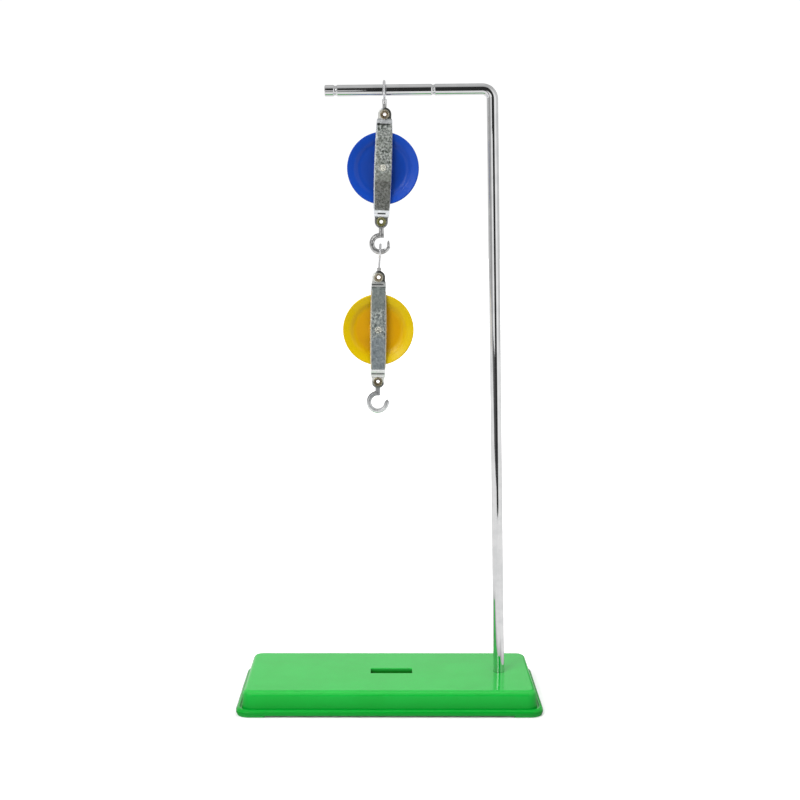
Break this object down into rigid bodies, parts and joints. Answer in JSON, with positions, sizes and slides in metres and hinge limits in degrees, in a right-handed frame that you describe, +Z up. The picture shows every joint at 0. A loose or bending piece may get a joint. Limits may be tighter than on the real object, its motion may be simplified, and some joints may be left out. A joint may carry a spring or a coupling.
{
  "type": "pulley demonstrator",
  "caption": "Tabletop stand with a moulded base and a bent rod whose grooved arm carries a fixed pulley block with a second block hooked below it.",
  "frame": {"origin": "centre of the base's footprint, at the level its feet stand on", "axes": "+Z up, +X towards the upright (the arm points to -X), +Y from the front to the back"},
  "size_m": [0.216, 0.098, 0.4408],
  "materials": {
    "green_plastic": "glossy moulded",
    "blue_plastic": "satin moulded",
    "yellow_plastic": "satin moulded",
    "chrome_bar": "bright plated, drawn round bar",
    "upper_strap_zinc": "zinc plated sheet, mottled",
    "lower_strap_zinc": "zinc plated sheet, smooth",
    "nickel_wire": "nickel plated wire",
    "yoke_metal": "bright plated strip",
    "collar_metal": "bright plated sleeve",
    "hook_steel": "grey plated round stock",
    "axle_steel": "turned, staked ends",
    "brass_eyelet": "rolled",
    "plated_hardware": "zinc plated"
  },
  "bodies": {
    "stand": {"base_shell": "green_plastic", "upright_rod": "chrome_bar", "rod_washer": "plated_hardware", "rod_nut": "plated_hardware"},
    "upper_hook": {"upper_wire_hook": "nickel_wire", "upper_hook_collar": "collar_metal"},
    "upper_swivel": {"upper_yoke": "yoke_metal"},
    "upper_block": {"upper_front_strap": "upper_strap_zinc", "upper_rear_strap": "upper_strap_zinc", "upper_axle": "axle_steel", "upper_top_eyelet": "brass_eyelet", "upper_bottom_eyelet": "brass_eyelet"},
    "upper_sheave": {"upper_wheel": "blue_plastic"},
    "upper_eye_hook": {"upper_c_hook": "hook_steel"},
    "lower_hook": {"lower_wire_hook": "nickel_wire"},
    "lower_swivel": {"lower_yoke": "yoke_metal"},
    "lower_block": {"lower_front_strap": "lower_strap_zinc", "lower_rear_strap": "lower_strap_zinc", "lower_axle": "axle_steel", "lower_top_eyelet": "brass_eyelet", "lower_bottom_eyelet": "brass_eyelet"},
    "lower_sheave": {"lower_wheel": "yellow_plastic"},
    "lower_eye_hook": {"lower_c_hook": "hook_steel"}
  },
  "joints": [
    {"name": "upper_hook_swing", "type": "hinge", "parent": "stand", "child": "upper_hook", "pos_m": [-0.00496, 0, 0.43385], "axis": [0.9999, 0, 0.0156], "range_deg": [-75, 75]},
    {"name": "upper_swivel_turn", "type": "hinge", "parent": "upper_hook", "child": "upper_swivel", "pos_m": [-0.0046, 0, 0.41718], "axis": [-0.0214, 0, 0.9998], "continuous": true},
    {"name": "upper_block_tilt", "type": "hinge", "parent": "upper_swivel", "child": "upper_block", "pos_m": [-0.0046, 0, 0.41718], "axis": [0, 1, 0], "range_deg": [-18, 45]},
    {"name": "upper_wheel_spin", "type": "hinge", "parent": "upper_block", "child": "upper_sheave", "pos_m": [-0.0057, 0, 0.3803], "axis": [0, 1, 0], "continuous": true},
    {"name": "upper_c_hook_swing", "type": "hinge", "parent": "upper_block", "child": "upper_eye_hook", "pos_m": [-0.0068, 0, 0.34342], "axis": [0, 1, 0], "range_deg": [-28, 60]},
    {"name": "lower_hook_swing", "type": "hinge", "parent": "upper_eye_hook", "child": "lower_hook", "pos_m": [-0.00766, 0, 0.32234], "axis": [1, 0, 0], "range_deg": [-75, 75]},
    {"name": "lower_swivel_turn", "type": "hinge", "parent": "lower_hook", "child": "lower_swivel", "pos_m": [-0.00856, 0, 0.3046], "axis": [0.0506, 0, 0.9987], "continuous": true},
    {"name": "lower_block_tilt", "type": "hinge", "parent": "lower_swivel", "child": "lower_block", "pos_m": [-0.00856, 0, 0.3046], "axis": [0, 1, 0], "range_deg": [-45, 45]},
    {"name": "lower_wheel_spin", "type": "hinge", "parent": "lower_block", "child": "lower_sheave", "pos_m": [-0.00874, 0, 0.2677], "axis": [0, 1, 0], "continuous": true},
    {"name": "lower_c_hook_swing", "type": "hinge", "parent": "lower_block", "child": "lower_eye_hook", "pos_m": [-0.00892, 0, 0.2308], "axis": [0, 1, 0], "range_deg": [-60, 60]}
  ]
}
